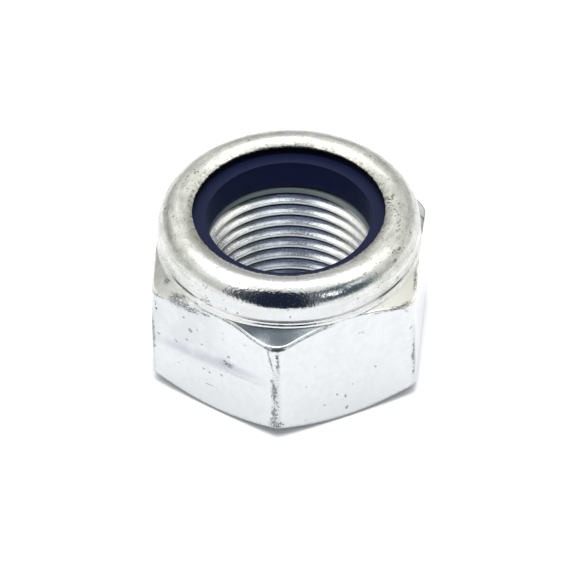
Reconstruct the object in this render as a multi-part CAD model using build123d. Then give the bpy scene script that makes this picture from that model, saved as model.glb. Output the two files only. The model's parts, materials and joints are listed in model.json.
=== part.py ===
from build123d import *

import os
from math import cos, radians, tan

# A steel lock nut with a nylon ring: a hexagon whose round collar is rolled in over the ring.
# Sizes are in millimetres. The bearing face lies on Z = 0 and the thread's axis is Z.

# The hexagon
across_flats = 36.0
nut_height = 24.0          # from the bearing face to the crest of the collar
upright_edge_radius = 0.7  # on the six edges between the flats
bearing_inset = 0.9        # the rim of the bearing face, inside the flats
bearing_chamfer = 30.0     # degrees, from that rim up to the corners
crown_overhang = 0.03      # the circle where the top chamfer starts, outside the flats
crown_chamfer = 38.0       # degrees, from that circle down to the corners

# The thread, made here as a plain bore at its crests
thread_major = 24.0
thread_pitch = 2.0
crest_depth = 0.54127      # from the major diameter in to a crest, as a share of the pitch
countersink_margin = 0.7   # the mouth at the bearing face, outside the major diameter
countersink_slope = 45.0   # degrees
seat_mouth_margin = 0.25   # the mouth under the ring, outside the ring's bore
seat_mouth_slope = 60.0    # degrees

# The nylon ring
ring_height = 4.4
ring_wall = 4.0            # from the ring's bore to its outside
ring_relief = 0.28         # the ring's bore, outside the thread's crests
ring_shoulder = 1.2        # the bevel that the lip is rolled down on, each way
ring_edge_chamfer = 0.25   # on the other three edges
ring_clearance = 0.02      # between the ring's outside and its seat

# The collar
collar_height = 5.84       # from the foot of the collar to its crest
collar_inset = 0.1         # the side of the collar, inside the flats
foot_land = 0.34           # the upright band just above the foot
step_depth = 0.08          # from that band in to the next one
step_rise = 0.24
step_land = 0.24           # the height of the next band
neck_depth = 0.12          # the groove above it, which runs in under the collar's side
neck_rise = 0.3
neck_edge = 0.14           # from the bottom of the groove up to the collar's side
shoulder_radius = 3.0      # the outside of the roll
lip_thickness = 1.8        # from the crest down to the ring
lip_droop = 0.5            # the lip's edge, below the crest
ring_face_shown = 1.9      # the width of the ring's top face that the lip leaves open

# Radii and heights that follow from the sizes above
flat_radius = across_flats / 2
corner_radius = flat_radius / cos(radians(30))
bearing_radius = flat_radius - bearing_inset
crown_radius = flat_radius + crown_overhang
collar_radius = flat_radius - collar_inset

crest_radius = thread_major / 2 - crest_depth * thread_pitch
mouth_radius = thread_major / 2 + countersink_margin
ring_bore_radius = crest_radius + ring_relief
seat_mouth_radius = ring_bore_radius + seat_mouth_margin
ring_outer_radius = ring_bore_radius + ring_wall
seat_radius = ring_outer_radius + ring_clearance
lip_radius = ring_bore_radius + ring_face_shown

foot_height = nut_height - collar_height
ring_top = nut_height - lip_thickness
ring_bottom = ring_top - ring_height


def rise(run, degrees):
    """How far a slope climbs over a level run."""
    return run * tan(radians(degrees))


def outside_edges():
    """Half section of the outside, as (radius, height), up to the edge of the lip."""
    corner_bottom = rise(corner_radius - bearing_radius, bearing_chamfer)
    corner_top = foot_height - rise(corner_radius - crown_radius, crown_chamfer)
    step_radius = flat_radius - step_depth
    land_top = foot_height + foot_land
    step_top = land_top + step_rise
    neck_bottom = step_top + step_land
    neck_floor = neck_bottom + neck_rise
    shoulder_foot = (collar_radius, nut_height - shoulder_radius)
    crest = (collar_radius - shoulder_radius, nut_height)
    lip_edge = (lip_radius, nut_height - lip_droop)

    Polyline(
        (mouth_radius, 0),
        (bearing_radius, 0),
        (corner_radius, corner_bottom),
        (corner_radius, corner_top),
        (crown_radius, foot_height),
        (flat_radius, land_top),
        (step_radius, step_top),
        (step_radius, neck_bottom),
        (step_radius - neck_depth, neck_floor),
        (collar_radius, neck_floor + neck_edge),
        shoulder_foot,
    )
    TangentArc(shoulder_foot, crest, tangent=(0, 1))
    TangentArc(crest, lip_edge, tangent=(-1, 0))


def inside_edges():
    """Half section of the inside, from the edge of the lip down to the bearing face."""
    seat_mouth_depth = rise(seat_mouth_radius - crest_radius, seat_mouth_slope)
    countersink_depth = rise(mouth_radius - crest_radius, countersink_slope)

    Polyline(
        (lip_radius, nut_height - lip_droop),
        (lip_radius, ring_top),
        (seat_radius - ring_shoulder, ring_top),
        (seat_radius, ring_top - ring_shoulder),
        (seat_radius, ring_bottom),
        (seat_mouth_radius, ring_bottom),
        (crest_radius, ring_bottom - seat_mouth_depth),
        (crest_radius, countersink_depth),
        (mouth_radius, 0),
    )


def make_nut_body():
    """The nut is turned from its half section, and the six flats are cut round it."""
    with BuildPart() as nut:
        with BuildSketch(Plane.XZ):
            with BuildLine():
                outside_edges()
                inside_edges()
            make_face()
        revolve(axis=Axis.Z)
        with BuildSketch():
            RegularPolygon(flat_radius, 6, major_radius=False, rotation=30)
            fillet(vertices(), upright_edge_radius)
        extrude(amount=nut_height, mode=Mode.INTERSECT)
    return nut.part


def ring_edges():
    """Half section of the ring: the seat's own, drawn in by the clearance."""
    bevel = ring_edge_chamfer
    Polyline(
        (ring_bore_radius, ring_bottom + bevel),
        (ring_bore_radius + bevel, ring_bottom),
        (ring_outer_radius - bevel, ring_bottom),
        (ring_outer_radius, ring_bottom + bevel),
        (ring_outer_radius, ring_top - ring_shoulder),
        (ring_outer_radius - ring_shoulder, ring_top),
        (ring_bore_radius + bevel, ring_top),
        (ring_bore_radius, ring_top - bevel),
        close=True,
    )


def make_nylon_ring():
    """The ring stands on the seat's floor, and the lip lies on its top face."""
    with BuildPart() as ring:
        with BuildSketch(Plane.XZ):
            with BuildLine():
                ring_edges()
            make_face()
        revolve(axis=Axis.Z)
    return ring.part


os.makedirs("parts", exist_ok=True)
export_step(make_nut_body(), "parts/nut_body.step")
export_step(make_nylon_ring(), "parts/nylon_ring.step")
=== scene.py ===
# %% [markdown]
# # A nylon insert lock nut, finished in Blender
# The solids of this nut come from its CAD model: a steel body and a nylon ring. They fix every size.
# This lesson builds both again as fine meshes, with the real thread cut in the bore, and gives each a
# finish: bright zinc plating on the steel, and navy nylon on the ring. The frame comes first: it holds
# the solids at their real place.

# %% Load the frame
import json
import math

import bpy
import numpy as np
from mathutils import Matrix, Vector


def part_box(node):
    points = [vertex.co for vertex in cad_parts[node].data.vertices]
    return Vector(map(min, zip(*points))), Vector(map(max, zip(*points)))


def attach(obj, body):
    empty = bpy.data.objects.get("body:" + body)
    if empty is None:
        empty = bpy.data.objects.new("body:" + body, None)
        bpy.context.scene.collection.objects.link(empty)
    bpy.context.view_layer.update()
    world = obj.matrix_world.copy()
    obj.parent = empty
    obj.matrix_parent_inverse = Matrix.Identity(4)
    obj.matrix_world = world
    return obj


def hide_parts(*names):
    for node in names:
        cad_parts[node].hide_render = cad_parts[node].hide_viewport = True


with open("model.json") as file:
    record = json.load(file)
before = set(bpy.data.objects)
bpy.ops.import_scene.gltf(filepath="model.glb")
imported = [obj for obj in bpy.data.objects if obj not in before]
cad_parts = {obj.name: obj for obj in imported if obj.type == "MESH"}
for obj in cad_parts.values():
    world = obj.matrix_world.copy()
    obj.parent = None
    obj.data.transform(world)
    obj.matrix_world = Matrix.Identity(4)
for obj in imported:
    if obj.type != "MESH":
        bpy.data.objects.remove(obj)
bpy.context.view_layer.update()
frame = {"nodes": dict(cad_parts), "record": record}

# %% [markdown]
# ## Sizes
# A length that the solids hold is read from them and is not typed again. The boxes and the record give
# the flats, the height, the ring and the bores. The other edges of the steel are circles round the axis,
# and a circle's radius and height are those of its mesh points. What the solids leave out, such as the
# thread, gets a number of its own further on. All is in millimetres until a mesh is made, in metres.

# %% Read the sizes of the solids, in millimetres
MM = 0.001
mounts = {mount["name"]: mount["dims"] for mount in frame["record"]["mounts"]}
nut_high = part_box("nut_body")[1] / MM
ring_low, ring_high = (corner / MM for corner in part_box("nylon_ring"))

flat_radius = nut_high.x
nut_height = nut_high.z
crest_radius = mounts["thread"]["r_mm"]
ring_bore_radius = mounts["ring_bore"]["r_mm"]
ring_bottom, ring_top, ring_outer = ring_low.z, ring_high.z, ring_high.x
print(f"flats at {flat_radius:.3f}, height {nut_height:.3f}, ring {ring_bottom:.2f} to {ring_top:.2f}")

# %% Read the edges inside and at both ends
hair = 0.002               # two lengths that are this close are the same
steel = np.array([vertex.co for vertex in frame["nodes"]["nut_body"].data.vertices]) / MM
reach, level = np.hypot(steel[:, 0], steel[:, 1]), steel[:, 2]

at_bearing = level < hair
at_crests = reach < crest_radius + hair
at_seat = (np.abs(level - ring_bottom) < hair) & (reach < ring_outer + 1)
at_lip = (level > ring_top + hair) & (reach < ring_outer)
mouth_radius, bearing_radius = reach[at_bearing].min(), reach[at_bearing].max()
seat_mouth_radius, seat_radius = reach[at_seat].min(), reach[at_seat].max()
seat_shoulder = level[(np.abs(reach - seat_radius) < hair) & (level < ring_top)].max()
lip_radius = reach[at_lip].min()
lip_height = level[at_lip & (reach < lip_radius + hair)].max()
roll_crest = reach[level > nut_height - hair].mean()
mouth_slope = level[at_crests].min() / (mouth_radius - crest_radius)
seat_mouth_slope = (ring_bottom - level[at_crests].max()) / (seat_mouth_radius - crest_radius)
print(f"mouth {mouth_radius:.3f}, bearing face {bearing_radius:.3f}, seat {seat_radius:.3f}, "
      f"lip {lip_radius:.3f} at {lip_height:.3f}, crest of the roll {roll_crest:.3f}")

# %% Read the corners and the side of the collar
sharp = 2 / math.sqrt(3)   # how much further a sharp corner reaches than a flat
corner_reach = reach.max()
corner_levels = level[reach > corner_reach - hair]
bearing_chamfer = corner_levels.min() / (corner_reach - bearing_radius)
edge_rounding = (flat_radius * sharp - corner_reach) / (sharp - 1)

side_edges = 7             # the fullest circles of points on the collar's side
shell = (reach > ring_outer + 1) & (level > nut_height / 2)
levels, fullness = np.unique(np.round(level[shell], 3), return_counts=True)
fullest = np.sort(levels[np.argsort(fullness)[-side_edges:]])
foot_height, land_top, step_top, neck_bottom, neck_floor, collar_foot, shoulder_foot = fullest.tolist()


def side_reach(height):
    return reach[shell & (np.abs(level - height) < hair)].min()


crown_radius, step_radius = side_reach(foot_height), side_reach(step_top)
neck_radius, collar_radius = side_reach(neck_floor), side_reach(collar_foot)
crown_chamfer = (foot_height - corner_levels.max()) / (corner_reach - crown_radius)
print(f"corners {corner_reach:.3f}, rounded {edge_rounding:.3f}, side of the collar", fullest.tolist())

# %% [markdown]
# ## A grid wrapped round the axis
# The body is round, apart from its six flats and its thread. A section could be revolved and the rest cut
# by booleans, but booleans leave long thin triangles that catch the light. Here one grid is wrapped round
# the axis. Each row is a loop with a radius and a height at every column, so a row can follow a flat, and
# a row of the thread can climb. Columns crowd together at the corners, where the surface turns fastest.

# %% Columns of the grid
half_columns = 27          # from a corner of the hexagon to the middle of a flat
first_step = 0.2           # how closely they crowd at the corner: 1 is even
crowding = 2.2

part_way = np.arange(half_columns) / half_columns
degrees_off = 30 * (first_step * part_way + (1 - first_step) * part_way ** crowding)
one_corner = np.concatenate([[-30], -degrees_off[:0:-1], degrees_off])
corner_offset = np.radians(np.tile(one_corner, 6))
angle = corner_offset + np.radians(np.repeat(30 + 60 * np.arange(6), len(one_corner)))
columns = len(angle)
print(columns, f"columns, the closest {math.degrees(np.diff(angle).min()):.2f} degrees apart")


def row(radius, height):
    """A radius and a height at every column."""
    return np.stack(np.broadcast_arrays(radius, height, angle)[:2], axis=1)


def soft_corner(before, corner, after, reach, steps=3):
    """Rows that round a corner of the section off, from `reach` before it to `reach` after it."""
    def ease_towards(end):
        run = end - corner
        length = np.maximum(np.linalg.norm(run, axis=1, keepdims=True), 1e-6)
        return corner + run * np.minimum(reach / length, 0.45)

    start, end = ease_towards(before), ease_towards(after)
    ways = np.linspace(0, 1, steps + 1)
    return [(1 - t) ** 2 * start + 2 * t * (1 - t) * corner + t ** 2 * end for t in ways]


def between(start, end, count):
    """Rows spaced evenly between two others."""
    return [start + (end - start) * (n + 1) / (count + 1) for n in range(count)]


def run_of(corners):
    """Rows through a list of (row, reach of its rounding, rows to add on the run that follows)."""
    rows = [corners[0][0]]
    fill = corners[0][2]
    for (before, _, _), (corner, reach, next_fill), (after, _, _) in zip(corners, corners[1:], corners[2:]):
        rounded = soft_corner(before, corner, after, reach)
        rows += between(rows[-1], rounded[0], fill) + rounded
        fill = next_fill
    return rows + between(rows[-1], corners[-1][0], fill) + [corners[-1][0]]


# %% [markdown]
# ## The hexagon
# A hexagon bar is drawn with slightly rounded edges, and here the upsetting of the collar has pushed them
# back: near the top they are rounder and fade into the chamfer. A bevel would round them evenly. Instead
# the reach from the axis is worked out: near a corner it is that of a circle against both flats, and
# elsewhere that of the flat, and the circle can grow with the height.

# %% How far the hexagon reaches
crown_rounding = 3.2       # what the rounding of an upright edge gains towards the top
crown_start, crown_end = 11.5, 17.5
crown_ease = 1.3           # how late it gains it: 1 is even


def hexagon_reach(rounding):
    """Distance from the axis to the hexagon, at every column."""
    off = np.abs(corner_offset)
    centre = (flat_radius - rounding) / math.cos(math.radians(30))
    circle_edge = np.sqrt(np.maximum(rounding ** 2 - (centre * np.sin(off)) ** 2, 0))
    touch = np.arctan2(rounding * 0.5, centre + rounding * math.cos(math.radians(30)))
    return np.where(off < touch, centre * np.cos(off) + circle_edge,
                    flat_radius / np.cos(math.radians(30) - off))


def edge_rounding_at(height):
    way = np.clip((height - crown_start) / (crown_end - crown_start), 0, 1)
    return edge_rounding + crown_rounding * way ** crown_ease


print(f"a corner reaches {hexagon_reach(edge_rounding).max():.3f} low down,",
      f"and {hexagon_reach(edge_rounding_at(foot_height)).max():.3f} at the foot of the collar")


# %% [markdown]
# ## Marks of the forge and of the bin
# The nut was forged and then tumbled in a bin with others, so it carries pits, nicks and scuffs. They
# could be scattered at random, but the eye looks for a few strong ones in telling places: on the upright
# edges, under the top chamfer and where the metal sheared. So the strong ones are listed one by one, as ovals
# on the unrolled skin of the nut, and a noise scatters the specks between. A place is so many degrees
# round from the front corner, and so high. The same lists sink the dents here and darken them later.

# %% Where the marks are
skin_radius = 17.9         # the skin is unrolled from this radius


def ovals(length, width, tilt, *places):
    """Marks of one size: half length, half width, the tilt of the length in degrees, and their places."""
    return length, width, tilt, places


pits = [
    ovals(0.26, 0.2, 20, (-42.4, 13.1), (-41.9, 12.9), (-22.2, 11.3), (-23.9, 9.8), (-24.3, 10.2)),
    ovals(0.16, 0.13, 0, (-44, 11), (-36.4, 11.3), (-19.7, 10.2), (-35.7, 7), (-32.6, 6.8), (-26.2, 7.3),
          (-49.6, 9.8), (-45.3, 14.8), (-57.2, 9.6), (43.7, 7.8)),
    ovals(0.11, 0.11, 0, (-25, 15.2), (-48.5, 5.9), (-38.5, 13.6), (-13.8, 14.9), (25.7, 4.9), (19.6, 3.7),
          (11.3, 8.1), (32.9, 6), (36.8, 14.9), (38.2, 14.8)),
    ovals(0.7, 0.07, 3, (-32.7, 4.5)),
    ovals(0.4, 0.1, 80, (29.5, 4.1)),
    ovals(0.35, 0.12, 60, (30, 2)),
]
nicks = [
    ovals(0.16, 0.34, -10, (-1.8, 10.6), (-1.2, 9.9), (-0.2, 9.3), (-0.5, 8.6), (-0.2, 6.9), (-1, 5.6),
          (-1.8, 4.6)),
    ovals(0.14, 0.22, 20, (0.5, 6.1), (-0.3, 7.9), (1.1, 3), (-2.4, 3.4), (-0.5, 2.7), (0.3, 15.2),
          (0.2, 13.5)),
    ovals(0.2, 0.75, 0, (59.3, 7.5)),
    ovals(0.12, 0.5, 0, (59.6, 9.4), (59.6, 4.6)),
    ovals(0.14, 0.3, 0, (-59.4, 10.3), (-59.4, 8.4), (-59.3, 7), (-58.6, 15), (-58, 14.1)),
    ovals(0.3, 0.07, 70, (58.6, 12.8)),
]
sheared = [ovals(9.6, 1.15, 4.5, (-33, 9.25))]
print(sum(len(group[3]) for group in pits), "pits,", sum(len(group[3]) for group in nicks), "nicks")

# %% How the marks are sunk into a row
pit_depth, nick_depth, shear_depth = 0.05, 0.14, 0.07
least_pit, least_nick = 0.35, 0.2     # a smaller mark would fall between two rows

column_turn = (np.degrees(angle) + 270) % 360 - 180


def sunk_by(marks, height, least):
    """How deep the marks lie at every column of a row, from 0 to 1, none of them smaller than `least`."""
    deepest = np.zeros(columns)
    for length, width, tilt, places in marks:
        lean = math.radians(tilt)
        for turn, middle in places:
            across = np.radians((column_turn - turn + 180) % 360 - 180) * skin_radius
            up = height - middle
            along = across * math.cos(lean) + up * math.sin(lean)
            aside = up * math.cos(lean) - across * math.sin(lean)
            near = (along / max(length, least)) ** 2 + (aside / max(width, least)) ** 2
            deepest = np.maximum(deepest, np.exp(-near))
    return deepest


def press(line):
    """Sinks the dents into one row of the flats."""
    height = line[:, 1]
    line[:, 0] -= pit_depth * sunk_by(pits, height, least_pit)
    line[:, 0] -= nick_depth * sunk_by(nicks, height, least_nick)
    line[:, 0] -= shear_depth * sunk_by(sheared, height, least_nick)


trial = row(flat_radius, nut_height / 3)
press(trial)
print(f"deepest mark a third of the way up: {flat_radius - trial[:, 0].min():.3f}")

# %% [markdown]
# ## The outside of the body
# The section runs out along the bearing face, up the chamfer and the flat, in along the top chamfer to
# the foot of the collar, round the groove that the rolling tool leaves, up the collar and over the lip.
# The roll is two arcs that share the crest: a tight one outside, and a flatter one that falls inwards.

# %% The top chamfer and its flattened rim
rim_width = 0.2
rim_share = 0.4            # at most this much of a narrow chamfer
rim_slope = math.tan(math.radians(16))
rim_drop, edge_drop = 0.03, 0.16      # how far the rim and the flat's edge stay below the collar's foot
wear_drop = 0.38           # how far the chamfer's edge is worn down, left of the front corner
wear_middle, wear_reach = -10.0, 6.5

high_reach = hexagon_reach(edge_rounding_at(foot_height))
facet_run = np.maximum(high_reach - crown_radius, 0)
worn = wear_drop * np.exp(-((column_turn - wear_middle) / wear_reach) ** 2)
rim_run = np.minimum(rim_width, rim_share * facet_run)
rim_height = foot_height - (facet_run - rim_run) * crown_chamfer - worn
rim_foot = row(np.maximum(high_reach, crown_radius) - rim_run, rim_height)
rim_foot[:, 0] = np.minimum(rim_foot[:, 0], high_reach)
rim_foot[:, 1] = np.minimum(rim_foot[:, 1], foot_height - rim_drop)
high_edge = np.minimum(rim_height - rim_run * rim_slope, foot_height - edge_drop)
crown_edge = row(np.minimum(high_reach, crown_radius), foot_height)
print(f"the chamfer's edge lies between {high_edge.min():.2f} and {high_edge.max():.2f}")

# %% Rows below and above the flats
flat_margin = 2            # the flats' own rows start this far inside their edges
low_reach = hexagon_reach(edge_rounding)
low_edge = (low_reach - bearing_radius) * bearing_chamfer
below_flat = run_of([
    (row(mouth_radius, 0), 0, 3),
    (row(bearing_radius, 0), 0.25, 2),
    (row(low_reach, low_edge), 0.3, 0),
    (row(low_reach, low_edge + flat_margin), 0, 0),
])[:-1]
above_flat = run_of([
    (row(high_reach, high_edge - flat_margin), 0, 0),
    (row(high_reach, high_edge), 0.22, 0),
    (rim_foot, 0.12, 4),
    (crown_edge, 0.08, 1),
    (row(flat_radius, land_top), 0.05, 0),
    (row(step_radius, step_top), 0.05, 1),
    (row(step_radius, neck_bottom), 0.05, 0),
    (row(neck_radius, neck_floor), 0.04, 0),
    (row(collar_radius, collar_foot), 0.06, 4),
    (row(collar_radius, shoulder_foot), 0, 0),
])[1:]
print(len(below_flat), "rows below the flats and", len(above_flat), "above")

# %% Rows of the flats and of the roll
flat_rows = 56
flat_run = between(below_flat[-1], above_flat[0], flat_rows)
for line in flat_run:
    line[:, 0] = hexagon_reach(edge_rounding_at(line[:, 1]))
    press(line)


def arc(centre_radius, centre_height, radius, start, end, steps):
    """Rows round an arc of the section. Its angles are in degrees above level, outwards."""
    turns = np.radians(np.linspace(start, end, steps + 1))[1:]
    return [row(centre_radius + radius * math.cos(t), centre_height + radius * math.sin(t)) for t in turns]


shoulder_radius = collar_radius - roll_crest
lip_run, lip_droop = roll_crest - lip_radius, nut_height - lip_height
lip_arc = (lip_run ** 2 + lip_droop ** 2) / (2 * lip_droop)
lip_turn = math.degrees(math.asin(lip_run / lip_arc))
roll = (arc(roll_crest, shoulder_foot, shoulder_radius, 0, 90, 18)
        + arc(roll_crest, nut_height - lip_arc, lip_arc, 90, 90 + lip_turn, 12))
print(f"the lip falls inwards on a radius of {lip_arc:.1f}, through {lip_turn:.0f} degrees")

# %% [markdown]
# Where the lip ends, the press tore the steel a little, so the edge isn't a true circle. Displacement by
# a noise would move the rows beside it too, but random steps can move this one row alone. Then the
# section goes on round the ring's seat.

# %% The ragged edge of the lip, and the seat
chance = np.random.default_rng(4)
tears = 420                # places round the edge where it goes in or out
tear_size = 0.07
tear_drop = 0.4            # how far the edge falls where it goes in or out, as a share
tear = chance.normal(0, 1, tears) * chance.uniform(0, 1, tears) * tear_size
tear_turns = np.arange(tears + 1) * 2 * math.pi / tears
ragged = np.interp(angle % (2 * math.pi), tear_turns, np.append(tear, tear[0]))
lip_edge = row(lip_radius + ragged, lip_height - np.abs(ragged) * tear_drop)

thread_depth = 1.0825      # from a crest to a root
major_radius = crest_radius + thread_depth
floor_margin = 0.2         # the seat's last row, outside the roots
ring_shoulder = ring_top - seat_shoulder
seat = run_of([
    (roll[-2], 0, 0),
    (lip_edge, 0.12, 2),
    (row(lip_radius, ring_top), 0.08, 1),
    (row(seat_radius - ring_shoulder, ring_top), 0.1, 1),
    (row(seat_radius, seat_shoulder), 0.1, 2),
    (row(seat_radius, ring_bottom), 0.08, 1),
    (row(major_radius + floor_margin, ring_bottom), 0, 0),
])[1:]
outside = below_flat + flat_run + above_flat + roll[:-1] + seat
print(len(outside), "rows outside and in the seat")

# %% [markdown]
# ## The thread
# The thread could be a swept tooth cut from the bore, but the sweep has to be joined to the cone at each
# end. Here the rows of the bore climb one pitch in each turn, and each keeps its own place on the tooth:
# crest, flank or root. After one turn a row meets the one that lies a whole tooth further on, so the grid
# closes on itself as a screw does. Wherever a cone lies outside the tooth, the surface follows the cone.

# %% One tooth
pitch = 2.0
crest_half = 0.1           # half the flat left on a crest
flank = math.tan(math.radians(33))
root_rounding = 0.4        # how far the curve of a root reaches along each flank
crest_rounding = 0.26
root_steps, crest_steps = 3, 2


def at(radius, height):
    """One point of a section, shaped as a row with a single column."""
    return np.array([[radius, height]])


root_apex = crest_radius + (pitch / 2 - crest_half) / flank
tooth_corners = [
    at(root_apex, -pitch / 2),
    at(crest_radius, -crest_half),
    at(crest_radius, crest_half),
    at(root_apex, pitch / 2),
    at(crest_radius, pitch - crest_half),
]
softness = [(crest_rounding, crest_steps)] * 2 + [(root_rounding, root_steps)]
corner_trios = zip(tooth_corners, tooth_corners[1:], tooth_corners[2:])
tooth = []
for (before, corner, after), (rounding, steps) in zip(corner_trios, softness):
    tooth += soft_corner(before, corner, after, rounding, steps)
on_crest = 2 * (crest_steps + 1)      # the rows of the crest, before those of the root
lower_flank = between(tooth[on_crest - 1], tooth[on_crest], 1)
upper_flank = between(tooth[-1], tooth[0] + [[0, pitch]], 1)
tooth = np.concatenate(tooth[:on_crest] + lower_flank + tooth[on_crest:] + upper_flank)
print(len(tooth), "rows in each turn of the thread, root at", round(tooth[:, 0].max(), 3))

# %% The surface of the bore
crest_height = 0.53        # the middle of a crest at angle 0, less whole pitches
climb = pitch * angle / (2 * math.pi)
tooth_heights = np.append(tooth[:, 1], tooth[0, 1] + pitch)
tooth_radii = np.append(tooth[:, 0], tooth[0, 0])


def bore_radius(height, climbed):
    """The tooth's radius there, or that of the cone that cuts it off."""
    along = (height - climbed - crest_height - tooth[0, 1]) % pitch + tooth[0, 1]
    radius = np.interp(along, tooth_heights, tooth_radii)
    seat_mouth = seat_mouth_radius - (ring_bottom - height) / seat_mouth_slope
    countersink = mouth_radius - height / mouth_slope
    return np.maximum(radius, np.maximum(seat_mouth, countersink))


outside.append(row(bore_radius(ring_bottom, climb), ring_bottom))
turns_down = np.arange(math.ceil(ring_bottom / pitch) + 1, -3, -1)
starts = np.concatenate([turn * pitch + crest_height + tooth[::-1, 1] for turn in turns_down])
print(len(starts), "climbing rows in the bore")

# %% [markdown]
# ## From rows to a mesh
# Rows of the outside close on themselves. A climbing row leaves the last column a whole tooth above its
# start, so its partner there is the row one tooth up. Where it would pass the ring's seat or the bearing
# face, its points are those of the rim that it meets, and the squares there shrink to triangles.

# %% Number the points
snap = 0.03                # a climbing row this close to a rim joins it


def in_space(line, turns):
    """The points of a row, in millimetres."""
    return np.stack([line[:, 0] * np.cos(turns), line[:, 0] * np.sin(turns), line[:, 1]], axis=1)


def closed(numbers):
    """A row's point numbers, with the first one again after the last column."""
    return np.append(numbers, numbers[0])


points = [in_space(line, angle) for line in outside]
loops = [closed(np.arange(columns) + n * columns) for n in range(len(outside))]
rim, mouth = loops[-1][:-1], loops[0][:-1]
point_count = len(outside) * columns

climbing = []
for start in starts:
    height = start + climb
    free = (height < ring_bottom - snap) & (height > snap)
    numbers = np.where(height > ring_bottom / 2, rim, mouth)
    numbers[free] = point_count + np.arange(free.sum())
    point_count += free.sum()
    points.append(in_space(row(bore_radius(height, climb), height)[free], angle[free]))
    climbing.append(numbers)

one_turn_up = [rim] * len(tooth) + climbing
loops += [np.append(numbers, one_turn_up[n][0]) for n, numbers in enumerate(climbing)]
loops.append(closed(mouth))
print(point_count, "points on", len(loops), "loops")

# %% Weave the grid into a piece
sharp_angle = 38           # degrees: the shading stays smooth over a softer edge


def weave(loops):
    """Faces between neighbouring loops, without the corners that fall together."""
    faces = []
    for lower, upper in zip(loops, loops[1:]):
        squares = np.stack([lower[:-1], lower[1:], upper[1:], upper[:-1]], axis=1)
        for square in squares.tolist():
            face = [n for n, after in zip(square, square[1:] + square[:1]) if n != after]
            if len(face) > 2:
                faces.append(face)
    return faces


def in_scene(name, data):
    """An object that shows the data, in the scene."""
    thing = bpy.data.objects.new(name, data)
    bpy.context.scene.collection.objects.link(thing)
    return thing


def make_piece(name, places, faces, node):
    """A smooth mesh that stands for a solid of the frame and rides with it."""
    mesh = bpy.data.meshes.new(name)
    mesh.from_pydata(places * MM, [], faces)
    mesh.validate()
    mesh.shade_smooth()
    mesh.set_sharp_from_angle(angle=math.radians(sharp_angle))
    piece = in_scene(name, mesh)
    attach(piece, "root")
    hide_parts(node)
    triangles = sum(len(face) - 2 for face in faces)
    print(name, len(places), "points", triangles, "triangles")
    return piece


body = make_piece("hex_body", np.concatenate(points), weave(loops), "nut_body")

# %% [markdown]
# ## The nylon ring
# The ring is moulded, then squeezed under the lip. It is a plain round form, so one closed section is
# wrapped round the axis.

# %% Make the ring
seam_height = ring_bottom + 2         # the section starts and ends in the bore
ring_section = run_of([
    (row(ring_bore_radius, seam_height), 0, 3),
    (row(ring_bore_radius, ring_top), 0.16, 4),
    (row(ring_outer - ring_shoulder, ring_top), 0.15, 1),
    (row(ring_outer, ring_top - ring_shoulder), 0.15, 2),
    (row(ring_outer, ring_bottom), 0.25, 3),
    (row(ring_bore_radius, ring_bottom), 0.25, 2),
    (row(ring_bore_radius, seam_height), 0, 0),
])[:-1]
ring_loops = [closed(np.arange(columns) + n * columns) for n in range(len(ring_section))]
ring_faces = [face[::-1] for face in weave(ring_loops + ring_loops[:1])]
ring = make_piece("lock_ring", np.concatenate([in_space(line, angle) for line in ring_section]),
                  ring_faces, "nylon_ring")

# %% [markdown]
# ## Sockets that can be added and multiplied
# A finish is mostly arithmetic on patterns. Wiring each Math node by hand would hide it, so a small class
# wraps a socket and gives it the usual signs: a sum of two sockets adds a Math node by itself. Every other
# node comes from one method, which takes its type, its settings and its sockets.

# %% A socket with arithmetic
def sign(operation, swapped=False):
    """The method for one sign of arithmetic, which adds its Math node."""
    def method(self, *others):
        return self.graph.maths(operation, *((*others, self) if swapped else (self, *others)))
    return method


class Wire:
    """The output of a node, with the signs of arithmetic."""

    def __init__(self, graph, socket):
        self.graph, self.socket = graph, socket

    __add__ = __radd__ = sign("ADD")
    __mul__ = __rmul__ = sign("MULTIPLY")
    __sub__, __rsub__ = sign("SUBTRACT"), sign("SUBTRACT", swapped=True)
    __truediv__, __rtruediv__ = sign("DIVIDE"), sign("DIVIDE", swapped=True)
    __pow__, __rpow__ = sign("POWER"), sign("POWER", swapped=True)
    __abs__ = sign("ABSOLUTE")


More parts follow.
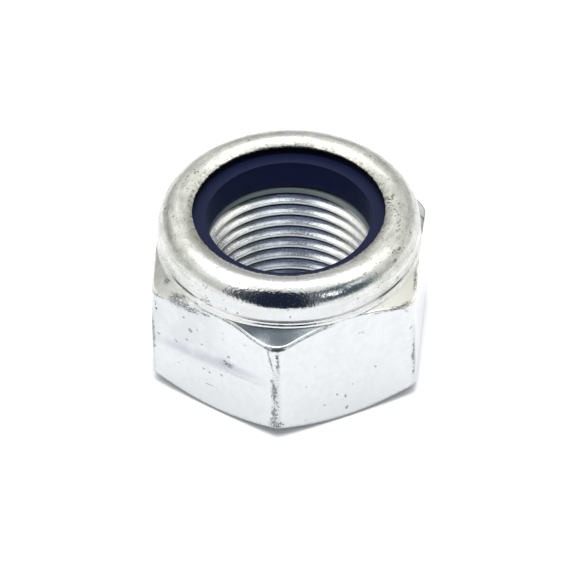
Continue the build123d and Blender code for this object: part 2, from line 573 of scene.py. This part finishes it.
# %% The nodes of one material or world
class Graph:
    def __init__(self, tree):
        self.tree = tree
        self.tree.nodes.clear()

    def add(self, kind, settings=None, sockets=None, output=0):
        """Adds a node: its settings first, then the values or links of its sockets."""
        node = self.tree.nodes.new("ShaderNode" + kind)
        for name, value in (settings or {}).items():
            setattr(node, name, value)
        for key, value in (sockets or {}).items():
            socket = self.find(node.inputs, key)
            if isinstance(value, Wire):
                self.tree.links.new(value.socket, socket)
            else:
                socket.default_value = value
        if isinstance(output, list):
            return [Wire(self, self.find(node.outputs, name)) for name in output]
        if node.outputs:
            return Wire(self, self.find(node.outputs, output))

    @staticmethod
    def find(sockets, key):
        """The socket of that number, or the first in use of that name."""
        if isinstance(key, int):
            return sockets[key]
        return next(socket for socket in sockets if socket.name == key and socket.enabled)

    def maths(self, operation, *values):
        return self.add("Math", {"operation": operation}, dict(enumerate(values)))

    def smooth(self, value, low, high, bottom=0.0, top=1.0):
        """Eases from bottom to top as the value goes from low to high."""
        return self.add("MapRange", {"interpolation_type": "SMOOTHSTEP"},
                        {"Value": value, "From Min": low, "From Max": high, "To Min": bottom, "To Max": top},
                        "Result")

    def fade(self, value, low, high):
        """Eases from 1 down to 0 as the value goes from low to high."""
        return self.smooth(value, low, high, 1, 0)

    def window(self, value, low, high, soft):
        """1 between low and high, and 0 outside, with edges that are `soft` wide on each side."""
        return self.smooth(value, low - soft, low + soft) * self.fade(value, high - soft, high + soft)

    def blend(self, factor, first, second):
        """Mixes two colours. A colour is a wire, or its red, green and blue."""
        first, second = (tone if isinstance(tone, Wire) else (*tone, 1) for tone in (first, second))
        return self.add("Mix", {"data_type": "RGBA"}, {"Factor": factor, "A": first, "B": second}, "Result")

    def most(self, *values):
        """The greatest of several values."""
        top = values[0]
        for value in values[1:]:
            top = self.maths("MAXIMUM", top, value)
        return top

    def principled(self, sockets):
        """The shader that ends a finish."""
        shader = self.add("BsdfPrincipled", {}, sockets)
        self.add("OutputMaterial", {}, {"Surface": shader})
        self.report("shader")

    def report(self, step):
        print(f"{step}: {len(self.tree.nodes)} nodes so far")


def new_material(name):
    material = bpy.data.materials.new(name)
    material.use_nodes = True
    return material, Graph(material.node_tree)


# %% [markdown]
# ## The nut's own coordinates
# Wear and painted light and shade follow the form of the nut: they lie along an edge, round the axis or
# on one facet. A painted map could carry them. Here every pattern is worked out from where a point is
# instead: its height, its distance from the axis, its turn from the front corner, and its place on the
# skin when that is unrolled.

# %% Where a point of the nut is
class Skin:
    """The place of a point, in millimetres and degrees."""

    def __init__(self, graph):
        metres = graph.add("TexCoord", output="Object")
        self.graph = graph
        self.place = graph.add("VectorMath", {"operation": "SCALE"}, {0: metres, "Scale": 1 / MM})
        self.x, self.y, self.z = graph.add("SeparateXYZ", {}, {0: self.place}, ["X", "Y", "Z"])
        self.reach = (self.x * self.x + self.y * self.y) ** 0.5
        radians = graph.maths("ARCTAN2", self.x, 0 - self.y)
        self.turn = radians * math.degrees(1)
        self.off_front = abs(self.turn)
        inwards = graph.most(skin_radius - self.reach, 0.0)
        inwards = inwards * graph.smooth(self.z, 1, 2)     # so that no mark runs on under the nut
        self.flat = graph.add("CombineXYZ", {}, {"X": radians * skin_radius, "Y": self.z + inwards})
        self.grit = self.noise(5.0, 3.5, 0.68)

    def noise(self, scale, detail, roughness=0.5, vector=None, output="Fac"):
        return self.graph.add("TexNoise", {}, {
            "Vector": vector or self.place, "Scale": scale, "Detail": detail, "Roughness": roughness}, output)

    def crumbled(self, amount):
        """The unrolled skin, shaken a little, so that marks get ragged rims."""
        shake = self.graph.add("VectorMath", {"operation": "SUBTRACT"}, {
            0: self.noise(4.5, 3.0, output="Color"), 1: (0.5, 0.5, 0.5)})
        return self.graph.add("VectorMath", {"operation": "MULTIPLY_ADD"}, {
            0: shake, 1: (amount, amount, 0), 2: self.flat})

    def drawn_round(self, across, along):
        """A place for a noise that is drawn out round the axis."""
        return self.graph.add("CombineXYZ", {}, {
            "X": self.x / self.reach * across, "Y": self.y / self.reach * across, "Z": along})


# %% How near a mark is
def closest(graph, skin, marks):
    """How far the nearest of the marks is: 0 at its middle, 1 at its rim."""
    nearest = 100.0
    for length, width, tilt, places in marks:
        lean = Matrix.Rotation(-math.radians(tilt), 2)
        leaned = graph.add("Mapping", {"vector_type": "TEXTURE"}, {
            "Vector": skin, "Rotation": (0, 0, math.radians(tilt)), "Scale": (length, width, 1)})
        for turn, height in places:
            along, aside = lean @ Vector((math.radians(turn) * skin_radius, height))
            far = graph.add("VectorMath", {"operation": "DISTANCE"}, {
                0: leaned, 1: (along / length, aside / width, 0)}, "Value")
            nearest = graph.maths("MINIMUM", far, nearest)
    return nearest


# %% [markdown]
# ## Bright zinc
# The steel is plated in a zinc bath, and the thin coat copies every small wave of the forging. A normal
# map could hold the waves. Two noises through Bump nodes do it here: long shallow waves that bend the
# reflections, and a fine peel on top. All three finishes of the steel end in this one shader.

# %% The shader of the plating
wave_depth, peel_depth = 0.00004, 0.00003     # metres


def plate(graph, skin, tone, rough, relief=1.0, metallic=1.0):
    waves = skin.noise(0.5, 2.0)
    peel = skin.noise(2.8, 2.0, 0.5)
    ripple = graph.add("Bump", {}, {"Strength": 1.0, "Distance": wave_depth, "Height": waves * relief})
    bump = graph.add("Bump", {}, {
        "Strength": 1.0, "Distance": peel_depth, "Height": peel * relief, "Normal": ripple})
    graph.principled({"Base Color": tone, "Metallic": metallic, "Roughness": rough, "Normal": bump})


# %% [markdown]
# ## The flats
# The flats are smooth forged faces with a cloudy shine. On the left one a dull band shows where the metal
# sheared in the die, and specks, pits and rubbed lines lie along the corners and under the top chamfer.
# A picture of worn steel could be laid over the zinc, but it wouldn't know where the edges are. So each
# kind of wear is a mask of its own, and a colour is blended in with it. Painted shade along the foot and
# painted light and shade on the facets of the top chamfer are masks in the same way.

# %% Marks that lie only in the finish of the flats
flat_scuffs = [
    ovals(2.3, 1.1, 8, (-47.2, 17.2)),
    ovals(1.7, 0.75, 10, (-41.5, 16.9)),
    ovals(1.0, 0.3, 4, (-39, 17.3), (-34, 17.2)),
    ovals(0.5, 2.6, 0, (-1, 8.6), (-1, 4.4)),
    ovals(1.1, 0.9, 0, (-0.6, 2.6)),
    ovals(2.2, 0.16, -9, (55, 17)),
    ovals(0.8, 0.12, 0, (45, 17.4)),
    ovals(0.9, 0.08, -60, (56.5, 16.3)),
    ovals(0.3, 4.5, 0, (-59.7, 9.5)),
    ovals(0.2, 4.5, 0, (59.7, 8)),
    ovals(0.9, 0.6, -20, (-22.5, 9.8), (-60, 18.1)),
]
flat_spots = [ovals(0.13, 0.13, 0, (-50, 17.4), (-41.6, 17))]
corner_lines = [ovals(2.2, 0.12, 101, (-2.6, 14.6)), ovals(1.7, 0.12, 92, (0.7, 13.9)),
                ovals(2.3, 0.15, -9, (54, 17)), ovals(1.3, 0.12, 12, (-49, 17.9)),
                ovals(1.5, 0.2, 18, (70.5, 17.5), (108, 17.4)), ovals(1.6, 0.13, 12, (-57, 16.5))]
smudges = [ovals(0.9, 0.3, 60, (-63.5, 17.9)), ovals(1.2, 1.6, 0, (-24, 9.8)),
           ovals(5, 0.35, 5, (-17, 8.6))]
print(len(flat_scuffs + flat_spots + corner_lines + smudges), "sizes of mark on the flats")

# %% Cloudy zinc, with painted shade at the foot, and darker on the upper left
grey_zinc, pale_zinc = (0.60, 0.615, 0.62), (0.64, 0.655, 0.655)
foot_shade_grey, upper_left_grey = (0.45, 0.465, 0.48), (0.46, 0.475, 0.49)

flats, graph = new_material("plated_flats")
skin = Skin(graph)
grit = skin.grit
broken = skin.crumbled(0.9)
mottle = skin.noise(0.9, 5.0, 0.65)
cloud = skin.noise(0.35, 3.0, 0.6)
tone = graph.blend(graph.smooth(0.7 * mottle + 0.3 * cloud, 0.36, 0.58), grey_zinc, pale_zinc)
# painted shade: the flats turn greyer towards the foot, where they mirror the shadow round the nut
low = graph.smooth(skin.z, 0, 7, 0.15, 0) * graph.smooth(mottle, 0.4, 0.6)
tone = graph.blend(low, tone, foot_shade_grey)
# darker on the upper part of the left flat
upper_left_darker = (graph.fade(skin.turn, -36, -20) * graph.smooth(skin.turn, -66, -60)
           * graph.smooth(skin.z, 6, 10) * graph.smooth(cloud, 0.3, 0.6, 0.3, 1))
tone = graph.blend(upper_left_darker * 0.5, tone, upper_left_grey)
graph.report("cloudy zinc")

# %% Rubbed lines under the top chamfer, and painted shade along the foot of the flats
from_wear = (skin.turn - wear_middle) / wear_reach
worn_here = graph.maths("EXPONENT", 0 - from_wear ** 2) * wear_drop
below = foot_height - (skin.reach - crown_radius) * crown_chamfer - skin.z
under = below - worn_here
rubbed = (graph.smooth(under, 0.06, 0.14) * graph.fade(under, 0.3, 0.6)
          * graph.smooth(skin.turn, -42, -30) * graph.fade(skin.turn, 18, 28)
          * graph.smooth(grit, 0.38, 0.54))
# painted shade: a dark ragged line along the bottom edge, where the flats meet their shadow on the floor
above = skin.z - (skin.reach - bearing_radius) * bearing_chamfer
foot = graph.fade(above + (grit - 0.5) * 1.4, 0.1, 0.45)
graph.report("edges of the flats")

# %% Pits, scuffs and specks
upright = graph.fade(skin.z, 12, 15) * graph.smooth(skin.z, 0.1, 0.4)
from_corner = graph.maths("PINGPONG", skin.turn, 30.0)
band = graph.fade(closest(graph, broken, sheared), 0.35, 1.2) * graph.smooth(cloud, 0.3, 0.55, 0.6, 1)
smudge = graph.fade(closest(graph, broken, smudges), 0.2, 1.2) * graph.smooth(grit, 0.35, 0.65)
dark = graph.fade(closest(graph, broken, pits + nicks + flat_spots), 0.5, 1.5)
lines = graph.fade(closest(graph, broken, corner_lines), 0.4, 1.6) * graph.smooth(grit, 0.36, 0.5)
field = graph.most(graph.fade(closest(graph, broken, flat_scuffs), 0.4, 1.3),
                   graph.smooth(from_corner, 0.6, 2.2, 0.6, 0) * upright)
speck = graph.smooth(grit + 0.3 * field, 0.69, 0.84)
scattered = graph.add("TexVoronoi", {}, {"Vector": broken, "Scale": 0.55}, "Distance")
tiny = graph.fade(scattered, 0.03, 0.1) * graph.smooth(cloud, 0.42, 0.6)
# real pits, specks and rubbed lines, together with the painted shade along the foot
dirt_and_shade = graph.most(dark * 0.75, speck * 0.85, rubbed * 0.85, lines * 0.8, smudge * 0.35, foot * 0.45,
                  tiny * 0.5, field * graph.smooth(mottle, 0.35, 0.6) * 0.2)
graph.report("dirt on the flats")

# %% The facets of the top chamfer, each with its own painted light or shade
left_facet_light, left_facet_shade = (0.74, 0.755, 0.72), (0.44, 0.455, 0.42)
right_facet_light, front_facet_highlight, back_facet_shade = (0.74, 0.74, 0.69), (0.84, 0.93, 0.97), (0.44, 0.445, 0.44)
# painted light and shade: lighter copies of the zinc on the left, right and front facets, a mottled painted
# shade on the left one and a darker copy at the back
facet = graph.smooth(skin.z, 15.2, 15.8) * graph.fade(under, 0.04, 0.1)
left = facet * graph.fade(skin.turn, -45, -35)
left_facet_mottled_shade = left * graph.smooth(mottle, 0.35, 0.6, 0.35, 1)
tone = graph.blend(left, tone, left_facet_light)
tone = graph.blend(left_facet_mottled_shade * 0.3, tone, left_facet_shade)
tone = graph.blend(facet * graph.smooth(skin.turn, 30, 40), tone, right_facet_light)
tone = graph.blend(facet * graph.fade(skin.off_front, 12, 20), tone, front_facet_highlight)
tone = graph.blend(facet * graph.smooth(skin.off_front, 90, 100), tone, back_facet_shade)

sheared_grey, pit_and_shade_black = (0.455, 0.46, 0.505), (0.07, 0.075, 0.07)
tone = graph.blend(band * 0.9, tone, sheared_grey)
# pits and specks, and the painted shade of the foot, blend to black
tone = graph.blend(dirt_and_shade, tone, pit_and_shade_black)
plate(graph, skin, tone, 0.13 + 0.25 * dirt_and_shade + 0.1 * band + 0.13 * facet, 1 - 0.7 * facet)

# %% [markdown]
# ## The collar
# The collar was squeezed and rolled. It is mirror-bright in front, and elsewhere it is brushed round the
# axis, with grey flecks, scuffs and grime along the lip. The lip's own wall carries a painted reflection of
# the navy ring that fades up into painted shade, and the groove at the foot has painted shade at the sides.
# The brushing could be an anisotropic shader, but its streaks have to show in the colour too, so it is one
# noise that is drawn out round the axis, the way that a rolling tool leaves its marks.

# %% Marks that lie only in the finish of the collar
collar_scuffs = [
    ovals(1.0, 0.7, -20, (-33.6, 19.6)),
    ovals(0.8, 0.5, -35, (-24, 19.7)),
    ovals(0.6, 0.5, 0, (-39, 18.4)),
    ovals(4.6, 0.4, 14, (86, 26.9)),
    ovals(2.2, 0.5, -12, (101, 27.9), (66, 24.4)),
    ovals(0.5, 0.35, 0, (43.6, 24.8), (79.7, 23.9), (74.6, 21.5), (60, 20.1), (61, 23.4)),
    ovals(0.4, 0.25, 30, (-79.4, 26.1), (-116.3, 27.4), (-114.5, 27.2), (-76.5, 27.6)),
]
collar_spots = [
    ovals(0.13, 0.13, 0, (-17.7, 19.7), (-35.1, 19.6), (-33, 20.4), (-31, 19.3), (-79.4, 26.1),
          (-116.4, 27.4), (-114.6, 27.2), (65.4, 23.8), (61, 23.5)),
    ovals(0.24, 0.14, 30, (-36.5, 19.4), (-32.2, 19.9), (-87.5, 24.4)),
]
print(len(collar_scuffs + collar_spots), "sizes of mark on the collar")

# %% Bright in front, brushed on the sides
shade_zinc, light_zinc = (0.57, 0.58, 0.575), (0.62, 0.63, 0.63)
shade_worn, light_worn = (0.49, 0.493, 0.46), (0.72, 0.723, 0.685)

collar, graph = new_material("plated_collar")
skin = Skin(graph)
grit = skin.grit
broken = skin.crumbled(0.45)
side = graph.smooth(skin.off_front, 22, 60)
streak = skin.noise(1.0, 4.0, 0.6, skin.drawn_round(3, (skin.z - skin.reach) * 1.1))
cloud = skin.noise(0.55, 3.0, 0.6)
blotch = graph.smooth(0.6 * streak + 0.4 * cloud, 0.38, 0.62)
plain = graph.blend(blotch, shade_zinc, light_zinc)
worn_zinc = graph.blend(blotch, shade_worn, light_worn)
tone = graph.blend(side, plain, worn_zinc)
graph.report("stretched zinc")

# %% Flecks, scuffs, grime and painted shade in the groove
fleck_grey, grime_olive, spot_and_shade_black = (0.34, 0.35, 0.33), (0.13, 0.14, 0.09), (0.07, 0.075, 0.065)
dark = graph.fade(closest(graph, broken, collar_spots), 0.5, 1.5)
field = graph.fade(closest(graph, broken, collar_scuffs), 0.4, 1.3)
flecks = skin.noise(2.6, 2.0, 0.6)
speck = graph.smooth(flecks + 0.14 * field + 0.03 * side, 0.66, 0.72)
# painted shade in the groove at the foot of the collar, beside the left and right corners
neck_shade_left = graph.smooth(skin.turn, -60, -52) * graph.fade(skin.turn, -44, -37)
neck_shade_right = graph.smooth(skin.turn, 44, 52) * graph.fade(skin.turn, 60, 68)
neck_shade = graph.window(skin.z, neck_bottom + 0.02, neck_floor + 0.07, 0.05) * (neck_shade_left + neck_shade_right) * 0.8
from_lip = skin.reach - lip_radius
grime = (graph.fade(from_lip, 0.2, 1.5) * graph.smooth(skin.z, ring_top + 0.3, ring_top + 0.8)
         * graph.smooth(skin.off_front, 15, 45)
         * graph.smooth(flecks, 0.42, 0.58) * graph.smooth(cloud, 0.3, 0.5)) * 0.6
tone = graph.blend(graph.smooth(flecks, 0.36, 0.6, 0.3, 0) * side, tone, fleck_grey)
tone = graph.blend(grime, tone, grime_olive)
# flecks and spots, and the painted shade in the groove, go dark together
dirt_and_shade = graph.most(dark * 0.8, speck * 0.7, neck_shade)
tone = graph.blend(dirt_and_shade, tone, spot_and_shade_black)
graph.report("dirt on the collar")

# %% Painted reflection and painted shade on the wall of the lip, the groove and the roughness
wall_nylon_reflection, wall_shade_black = (0.045, 0.055, 0.10), (0.014, 0.016, 0.022)
# painted reflection of the navy ring low on the lip's inner wall, fading up into painted shade
lip_wall = (graph.fade(from_lip, 0.1, 0.2)
            * graph.fade(skin.z + (grit - 0.5) * 0.8, lip_height - 0.2, lip_height - 0.08))
shadow = graph.blend(graph.smooth(skin.z, ring_top, ring_top + 0.8), wall_nylon_reflection, wall_shade_black)
tone = graph.blend(lip_wall, tone, shadow)
groove = graph.window(skin.z, neck_bottom + 0.07, neck_floor + 0.12, 0.05)
frosted = graph.smooth(grit, 0.55, 0.7)
rough = 0.09 + 0.2 * side + 0.2 * dirt_and_shade + 0.3 * lip_wall + 0.22 * groove + 0.22 * frosted
plate(graph, skin, tone, rough, 1 - 0.6 * side)

# %% [markdown]
# ## The thread
# The crests carry a painted highlight, the flanks get painted shade inwards, the roots are black with painted
# shade, and a painted highlight glints on a burr just under the ring. In the bore the metal mirrors mostly
# itself, which leaves it too even. So painted light and shade follow the distance from the crests, with a
# painted highlight and a blue painted reflection in the middle, and painted shade low on the left.

# %% Finish of the thread, with painted light and shade
middle_highlight_zinc, side_zinc, deep_shade_zinc = (0.86, 0.92, 0.98), (0.74, 0.75, 0.74), (0.46, 0.51, 0.56)
middle_flank_reflection, side_flank_shade = (0.60, 0.66, 0.90), (0.36, 0.37, 0.37)
crest_highlight_zinc, streak_grey, grit_black = (0.80, 0.83, 0.82), (0.22, 0.23, 0.23), (0.05, 0.05, 0.05)
root_shade_black, mouth_shade_grey, burr_glint_white = (0.06, 0.065, 0.07), (0.10, 0.125, 0.13), (0.95, 0.95, 0.98)

bore, graph = new_material("plated_thread")
skin = Skin(graph)
from_crest = skin.reach - crest_radius
# painted highlight: the middle of the far wall gets a lighter, bluer copy of the zinc
middle = graph.fade(abs(skin.x + 0.5), 2, 7)
# painted shade: the bore darkens low down and to the left
deep = graph.fade(skin.z, 3, 15) * graph.fade(skin.x, -1, 5)
crest = graph.fade(from_crest, 0.05, 0.14)
tone = graph.blend(middle, side_zinc, middle_highlight_zinc)
tone = graph.blend(deep, tone, deep_shade_zinc)
# painted reflection of the navy ring on the flanks in the middle, and painted shade on the flanks at the
# sides
flank_shade_and_reflection = graph.blend(middle, side_flank_shade, middle_flank_reflection)
tone = graph.blend(graph.smooth(from_crest, 0.46, 0.8), tone, flank_shade_and_reflection)
# painted highlight on the crests
tone = graph.blend(crest, tone, crest_highlight_zinc)
streak = skin.noise(1.0, 3.0, 0.6, skin.drawn_round(5, skin.z * 9))
tone = graph.blend(graph.smooth(streak, 0.5, 0.7, 0, 0.5), tone, streak_grey)
tone = graph.blend(graph.smooth(skin.grit, 0.66, 0.74, 0, 0.6), tone, grit_black)
# painted shade in the roots, under each crest
tone = graph.blend(graph.smooth(from_crest, 0.88, 1.08), tone, root_shade_black)
# painted shade on the cone under the ring
mouth_cone = graph.smooth(skin.z, ring_bottom - 1.02, ring_bottom - 0.9)
# painted highlight: a glint on a burr just under the ring, on the right and near the middle
glint_spans = graph.smooth(skin.x, 3, 4.5) + graph.smooth(skin.x, -3, -2) * graph.fade(skin.x, -0.4, 0.4)
burr_glint = graph.smooth(skin.z + (skin.grit - 0.5) * 0.2, ring_bottom - 0.18, ring_bottom - 0.12) * glint_spans
tone = graph.blend(mouth_cone, tone, mouth_shade_grey)
tone = graph.blend(burr_glint, tone, burr_glint_white)
metallic = 0.8 - 0.3 * crest - 0.5 * mouth_cone - 0.3 * burr_glint
plate(graph, skin, tone, 0.2 + 0.25 * mouth_cone, 0.7, metallic)

# %% [markdown]
# ## Navy nylon
# The ring is dyed through. Its top face is dusty and greyer, and its bore is a deeper blue. Nylon scatters
# some light under its surface, but a tone this dark hides that, so a plain rough shader is enough.

# %% Finish of the ring
bore_navy, bore_blue = (0.0015, 0.005, 0.042), (0.004, 0.0075, 0.034)
top_navy, top_dust = (0.0035, 0.0058, 0.020), (0.0052, 0.0072, 0.024)

nylon, graph = new_material("navy_nylon")
skin = Skin(graph)
top = graph.smooth(skin.z, ring_top - 0.35, ring_top - 0.1)
cloud = skin.noise(0.8, 3.0, 0.6)
tone = graph.blend(top, graph.blend(cloud, bore_navy, bore_blue), graph.blend(cloud, top_navy, top_dust))
graph.principled({"Base Color": tone, "Roughness": 0.55 - 0.15 * top, "Specular IOR Level": 0.1})

# %% [markdown]
# ## Which face gets which finish
# One piece of steel carries three finishes. One material could switch between them with masks, but it
# would be too large for the renderer. So each face is given its finish by where its middle is.

# %% Give the finishes to the faces
bore_margin = 0.9          # the thread's finish reaches this far outside the roots
finishes = [flats, collar, bore]
for finish in finishes:
    body.data.materials.append(finish)
middles = np.array([face.center for face in body.data.polygons]) / MM
off_axis = np.hypot(middles[:, 0], middles[:, 1])
in_bore = (off_axis < major_radius + bore_margin) & (middles[:, 2] < ring_bottom)
in_collar = middles[:, 2] > foot_height
choice = np.where(in_collar, finishes.index(collar), finishes.index(flats))
body.data.polygons.foreach_set("material_index", np.where(in_bore, finishes.index(bore), choice))
ring.data.materials.append(nylon)
print(in_bore.sum(), "faces in the bore,", (in_collar & ~in_bore).sum(), "on the collar")

# %% [markdown]
# ## The floor
# The nut stands on a sheet of white paper that runs far back and ends just in front of the picture. It
# glows a little, in place of the light that a room would give it. It is not part of the nut.

# %% Lay the paper
floor_side, floor_front, floor_back = 200, 64, 300     # from the nut's axis
paper_white, paper_glow, glow_strength = (0.66, 0.66, 0.67, 1), (0.85, 0.92, 1, 1), 0.14

paper, graph = new_material("white_paper")
graph.principled({"Base Color": paper_white, "Roughness": 1.0, "Specular IOR Level": 0.0,
                  "Emission Color": paper_glow, "Emission Strength": glow_strength})

corners = [(x * MM, y * MM, 0) for y in (-floor_front, floor_back) for x in (-floor_side, floor_side)]
mesh = bpy.data.meshes.new("floor")
mesh.from_pydata(corners, [], [(0, 1, 3, 2)])
floor = in_scene("floor", mesh)
floor.data.materials.append(paper)
print("paper", 2 * floor_side, "by", floor_front + floor_back, "mm")

# %% [markdown]
# ## The camera
# The nut is seen from above, with one corner in front and a little to the left. The lens is long and far
# away, so upright lines stay nearly parallel. A constraint could aim the camera, but three angles and a
# distance say plainly where it is, and its axes follow from them.

# %% Place the camera
view_turn = math.radians(5.94)     # anticlockwise from above, off the straight front
view_drop = math.radians(42.216)   # looking down
view_roll = math.radians(1.175)
lens_mm, sensor_mm = 505.3, 36.0
distance = 1102.2
aim_right, aim_up = -0.863, 7.222  # the point that the camera looks at, seen from the foot of the axis

level_right = Vector((math.cos(view_turn), math.sin(view_turn), 0))
level_forward = Vector((-math.sin(view_turn), math.cos(view_turn), 0))
forward = level_forward * math.cos(view_drop) - Vector((0, 0, math.sin(view_drop)))
level_down = forward.cross(level_right)
right = math.cos(view_roll) * level_right + math.sin(view_roll) * level_down
down = math.cos(view_roll) * level_down - math.sin(view_roll) * level_right
eye = right * aim_right - down * aim_up - forward * distance

camera_data = bpy.data.cameras.new("camera")
camera_data.lens, camera_data.sensor_width = lens_mm, sensor_mm
camera_data.clip_start, camera_data.clip_end = 0.01, 20
camera = in_scene("camera", camera_data)
camera.matrix_world = Matrix.Translation(eye * MM) @ Matrix((right, -down, -forward)).transposed().to_4x4()
bpy.context.scene.camera = camera
print("camera at", tuple(round(length) for length in eye), "mm")

# %% [markdown]
# ## The studio
# Bright metal shows the room and little else: pale walls, a bright ceiling, and dark patches on the side
# where the camera stands. Panels round the nut could make that room. A world shader makes it with fewer
# parts: it takes a ray's direction, as a height and a side in degrees, and says how bright it is there.

# %% Directions in the room
world = bpy.data.worlds.new("studio")
world.use_nodes = True
graph = Graph(world.node_tree)
direction = graph.add("TexCoord", output="Generated")


def part_along(axis):
    """How much of a ray's direction points along an axis."""
    return graph.add("VectorMath", {"operation": "DOT_PRODUCT"}, {0: direction, 1: axis}, "Value")


def panel(side_middle, height_middle, half_width, half_height, soft):
    """A soft rectangle in the room, in degrees."""
    return (graph.window(room_side, side_middle - half_width, side_middle + half_width, soft)
            * graph.window(room_height, height_middle - half_height, height_middle + half_height, soft))


to_camera, to_right, up = part_along(-level_forward), part_along(level_right), part_along((0, 0, 1))
room_height = graph.maths("ARCSINE", up) * math.degrees(1)
room_side = graph.maths("ARCTAN2", to_right, to_camera) * math.degrees(1)
over = graph.maths("ARCTAN2", up, to_camera) * math.degrees(1)     # up and over, from the camera's side
graph.report("directions")

# %% Walls and ceiling
walls = graph.smooth(room_height, -6, 16, 1.4, 0.86) + graph.smooth(room_height, 18, 50, 0, 0.4)
bright_corner = (graph.smooth(room_side, -180, -170) * graph.fade(room_side, -150, -125)
                 * graph.window(room_height, 22, 52, 6))
walls = walls + bright_corner * 0.4
walls = walls * (1 - 0.33 * panel(-128, 13, 24, 14, 8))
ceiling = graph.smooth(room_height, 44, 66, 0, 1.7)
back = graph.smooth(to_camera, -0.3, -0.95, 1, 0.7)
graph.report("walls and ceiling")

# %% The dark patches, and the veil that hides the ceiling
dark_top = (graph.smooth(room_side, -40, -32, 60, 75) - graph.smooth(room_side, -15, -9, 0, 3)
            - graph.smooth(room_side, 4, 12, 0, 9))
dark_left = graph.smooth(room_height, -20, 10, -22, -52)
dark = (graph.smooth(room_side - dark_left, -5, 5) * graph.fade(room_side, 15, 25)
        * graph.smooth(room_height, -22, -15)
        * graph.fade(room_height - dark_top, -5, 7)
        * graph.smooth(room_side, -48, -22, 0.9, 1) * graph.smooth(room_side, 4, 22, 1, 0.93))
dark_right = panel(46, 28, 27, 32, 9) * 0.92
overhead = graph.fade(abs(to_right), 0.25, 0.5) * graph.fade(over, 86, 101)
veil = graph.window(room_side, -45, 80, 10) * graph.fade(room_height - dark_top, 6, 24)
veil = 1 - (1 - veil) * (1 - overhead)
graph.report("dark patches")

# %% Put the room together
camera_sees = 1.3          # the plain backdrop behind the nut
right_gloom, dark_gloom, warm_white = (0.035, 0.085, 0.12), (0.018, 0.028, 0.055), (1, 1, 0.97, 1)
lamps = panel(35, 31, 5, 9, 3) * 2.2 + panel(61, 39, 5, 6, 3) * 1.8
strength = (walls * back + ceiling * (1 - veil)) * ((1 - dark) * (1 - dark_right)) + lamps
seen = graph.add("LightPath", output="Is Camera Ray")
strength = strength * (1 - seen) + camera_sees * seen
cast = graph.blend(dark, graph.blend(dark_right, (0, 0, 0), right_gloom), dark_gloom)
light = graph.add("Background", {}, {"Color": warm_white, "Strength": strength})
gloom = graph.add("Background", {}, {"Color": cast, "Strength": 1 - seen})
both = graph.add("AddShader", {}, {0: light, 1: gloom})
graph.add("OutputWorld", {}, {"Surface": both})
bpy.context.scene.world = world
world.cycles_visibility.diffuse = False
graph.report("studio")

# %% [markdown]
# ## Two lamps for paper and nylon
# The room lights only what mirrors it, so that it can be drawn for the metal alone. Paper and nylon are
# matt and need light of their own. Area lamps would each need a place and a size, so these are distant
# lamps: a wide dome from above, and a narrower key on the camera's side, which lays the short shadow.

# %% Hang the lamps
def lamp(name, strength, spread, towards):
    """A distant lamp that the metal doesn't mirror."""
    data = bpy.data.lights.new(name, "SUN")
    data.energy = strength
    data.angle = math.radians(spread)
    light = in_scene(name, data)
    light.rotation_mode = "QUATERNION"
    light.rotation_quaternion = Vector(towards).to_track_quat("-Z", "Y")
    light.visible_glossy = False
    print(name, strength, "spread over", spread, "degrees")


key_drop = math.radians(74)
lamp("dome", 3.45, 90, (0, 0, -1))
lamp("key", 2.9, 26, level_forward * math.cos(key_drop) - Vector((0, 0, math.sin(key_drop))))
bpy.context.scene.view_settings.view_transform = "Standard"
